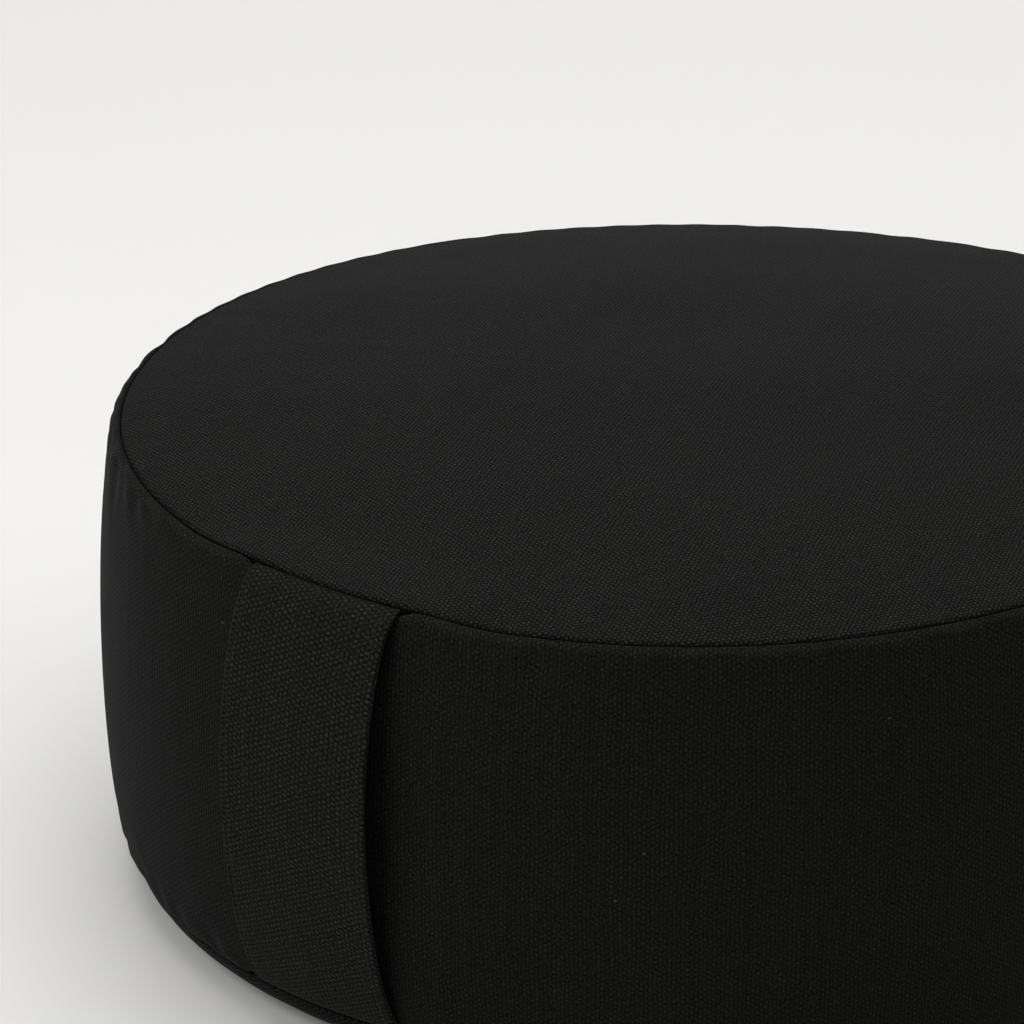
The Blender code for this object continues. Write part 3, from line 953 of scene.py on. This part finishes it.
class CUSHION_OT_topstitching(bpy.types.Operator):
    """Sew a row of stitches along each edge of the handle"""

    bl_idname = "cushion.topstitching"
    bl_label = "Topstitching"

    def execute(self, context):
        settings = context.scene.cushion_handle
        inner, outward, full = handle_rows()
        points, faces = [], []
        lift = (CLOTH - settings.stitch_trough) * end_squeeze(inner)[0]
        for line in stitch_lines(settings):
            across = np.full(len(full), line)
            row = on_handle(inner, outward, full, across, lift)
            above = on_handle(inner, outward, full, across, lift + MM)
            length = run_along(np.linalg.norm(np.diff(row, axis=0), axis=1))
            starts = np.arange(STITCHES_FROM_END, length[-1] - STITCHES_FROM_END, settings.stitch_pitch)
            for start in starts:
                self.stitch(points, faces, settings, length, row, above - row, start)
        corner_uvs = np.zeros((sum(len(face) for face in faces), 2))
        piece = new_piece("topstitching", np.array(points), faces, corner_uvs, np.zeros(len(points)),
                          sewing_thread())
        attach(piece, "root")
        return {"FINISHED"}

    def stitch(self, points, faces, settings, length, row, upward, start):
        """One stitch: a short length of thread that rises out of the cloth and dives back into it."""
        rings, sides = STITCH_RINGS, THREAD_SIDES
        shares = np.linspace(0, 1, rings + 1)
        arch = np.sin(math.pi * shares)
        at = start + shares * (settings.stitch_pitch - settings.stitch_gap)
        middle = np.stack([np.interp(at, length, row[:, i]) for i in range(3)], axis=-1)
        up = np.stack([np.interp(at, length, upward[:, i]) for i in range(3)], axis=-1)
        up /= np.linalg.norm(up, axis=1)[:, None]
        rise = settings.thread_radius * (STITCH_ARCH * arch ** STITCH_ARCH_POWER - STITCH_SUNK)
        middle = middle + up * rise[:, None]
        forward = np.gradient(middle, axis=0)
        forward /= np.linalg.norm(forward, axis=1)[:, None]
        sideways = np.cross(forward, up)
        thickness = STITCH_END_SHARE + (1 - STITCH_END_SHARE) * arch ** STITCH_END_POWER
        first = len(points)
        for ring in range(rings + 1):
            for side in range(sides):
                a = 2 * math.pi * side / sides
                offset = sideways[ring] * math.cos(a) + up[ring] * math.sin(a)
                points.append(middle[ring] + offset * settings.thread_radius * thickness[ring])
        for ring in range(rings):
            for side in range(sides):
                a, b = first + ring * sides + side, first + ring * sides + (side + 1) % sides
                faces.append([a, a + sides, b + sides, b])
        faces.append([first + side for side in range(sides)])
        faces.append([first + rings * sides + side for side in range(sides)][::-1])


def sewing_thread():
    """Black bonded polyester thread: smoother than the canvas, so it shows a faint narrow highlight."""
    settings = bpy.context.scene.cushion_handle
    material, tree = new_material("bonded polyester thread")
    spot = add_node(tree, "TexCoord").node.outputs["Object"]
    twist = add_node(tree, "TexNoise", {"Vector": spot, "Scale": TWISTS_IN_A_METRE, "Detail": 2.0})
    height = times(tree, twist, TWIST_RELIEF)
    give_surface(tree, {
        "Base Color": tinted(tree, settings.thread, graded(tree, twist, 0.6, 1.3, 0.3, 0.7)),
        "Roughness": graded(tree, twist, 0.55, 0.75),
        "Normal": add_node(tree, "Bump", {"Height": height, "Distance": 1.0}),
        "IOR": 1.5,
        "Specular IOR Level": 0.3,
    })
    return material


def studio_floor():
    """Matt white studio floor: bright and even, with a barely seen mottle."""
    settings = bpy.context.scene.cushion_stage
    material, tree = new_material("matt white studio floor")
    spot = add_node(tree, "TexCoord").node.outputs["Object"]
    mottle = add_node(tree, "TexNoise", {"Vector": spot, "Scale": 3.0, "Detail": 2.0})
    colour = tinted(tree, settings.floor, graded(tree, mottle, 0.99, 1.01))
    give_surface(tree, {"Base Color": colour, "Roughness": 0.9, "Specular IOR Level": 0.1})
    return material


def studio_light(name, azimuth, elevation, distance, size, power):
    """A square soft light that faces the cushion. Azimuth 0 is at +X."""
    a, e = math.radians(azimuth), math.radians(elevation)
    toward = Vector((math.cos(a) * math.cos(e), math.sin(a) * math.cos(e), math.sin(e)))
    data = bpy.data.lights.new(name, "AREA")
    data.shape = "SQUARE"
    data.size = size
    data.energy = power
    lamp = new_object(name, data)
    lamp.location = Vector((0, 0, TOP_SEAM_HEIGHT)) + toward * distance
    lamp.rotation_euler = toward.to_track_quat("Z", "Y").to_euler()


def place_camera():
    pitch = math.radians(CAMERA_PITCH)
    heading = Vector((*CAMERA_HEADING, 0)).normalized()
    forward = heading * math.cos(pitch) - Vector((0, 0, math.sin(pitch)))
    level_right = forward.cross(Vector((0, 0, 1))).normalized()
    level_up = level_right.cross(forward)
    right = level_right * math.cos(CAMERA_ROLL) + level_up * math.sin(CAMERA_ROLL)
    up = level_up * math.cos(CAMERA_ROLL) - level_right * math.sin(CAMERA_ROLL)
    data = bpy.data.cameras.new("studio_camera")
    data.sensor_width = CAMERA_SENSOR
    data.lens = CAMERA_LENS
    data.clip_start, data.clip_end = CAMERA_NEAREST, CAMERA_FURTHEST
    camera = new_object("studio_camera", data)
    axes = Matrix((right, up, -forward)).transposed().to_4x4()
    camera.matrix_world = Matrix.Translation(CAMERA_PLACE) @ axes
    bpy.context.scene.camera = camera


class CUSHION_OT_stage(bpy.types.Operator):
    """Lay the floor, hang the lights and stand the camera where the picture was taken from"""

    bl_idname = "cushion.stage"
    bl_label = "Stage"

    def execute(self, context):
        settings = context.scene.cushion_stage
        mesh = bpy.data.meshes.new("studio_floor")
        ends = (-FLOOR_REACH, FLOOR_REACH)
        mesh.from_pydata([(x, y, 0) for y in ends for x in ends], [], [(0, 1, 3, 2)])
        mesh.materials.append(studio_floor())
        floor = new_object("studio_floor", mesh)
        ahead = math.degrees(math.atan2(CAMERA_HEADING[1], CAMERA_HEADING[0]))
        for name, (turned, elevation, distance, width) in LIGHTS.items():
            power = getattr(settings, name)
            studio_light(name + "_light", ahead + turned, elevation, distance, width, power)
        world = bpy.data.worlds.new("white room")
        world.use_nodes = True
        sky = world.node_tree.nodes["Background"]
        sky.inputs["Color"].default_value = (1.0, 1.0, 1.0, 1.0)
        sky.inputs["Strength"].default_value = settings.room
        context.scene.world = world
        context.scene.view_settings.view_transform = "Standard"
        place_camera()
        return {"FINISHED"}


class CUSHION_PT_sidebar(bpy.types.Panel):
    """The settings, and the pieces in the order in which they are made"""

    bl_idname = "CUSHION_PT_sidebar"
    bl_label = "Meditation cushion"
    bl_space_type = "VIEW_3D"
    bl_region_type = "UI"
    bl_category = "Cushion"

    def draw(self, context):
        for group in GROUPS:
            column = self.layout.column()
            settings = getattr(context.scene, group)
            for name in settings.bl_rna.properties.keys():
                if name not in ("name", "rna_type"):
                    column.prop(settings, name)
        for operator in OPERATORS:
            self.layout.operator(operator.bl_idname)


GROUPS = {
    "cushion_canvas": CanvasSettings,
    "cushion_cover": CoverSettings,
    "cushion_handle": HandleSettings,
    "cushion_stage": StageSettings,
}
OPERATORS = (
    CUSHION_OT_side_band,
    CUSHION_OT_top_panel,
    CUSHION_OT_bottom_panel,
    CUSHION_OT_handle,
    CUSHION_OT_topstitching,
    CUSHION_OT_stage,
)


def register():
    for kind in (*GROUPS.values(), *OPERATORS, CUSHION_PT_sidebar):
        bpy.utils.register_class(kind)
    for name, kind in GROUPS.items():
        setattr(bpy.types.Scene, name, bpy.props.PointerProperty(type=kind))


def unregister():
    for name in GROUPS:
        delattr(bpy.types.Scene, name)
    for kind in (CUSHION_PT_sidebar, *reversed(OPERATORS), *reversed(GROUPS.values())):
        bpy.utils.unregister_class(kind)


def main():
    register()
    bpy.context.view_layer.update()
    bpy.ops.cushion.side_band()
    bpy.ops.cushion.top_panel()
    bpy.ops.cushion.bottom_panel()
    bpy.ops.cushion.handle()
    bpy.ops.cushion.topstitching()
    bpy.ops.cushion.stage()


if __name__ == "__main__":
    main()
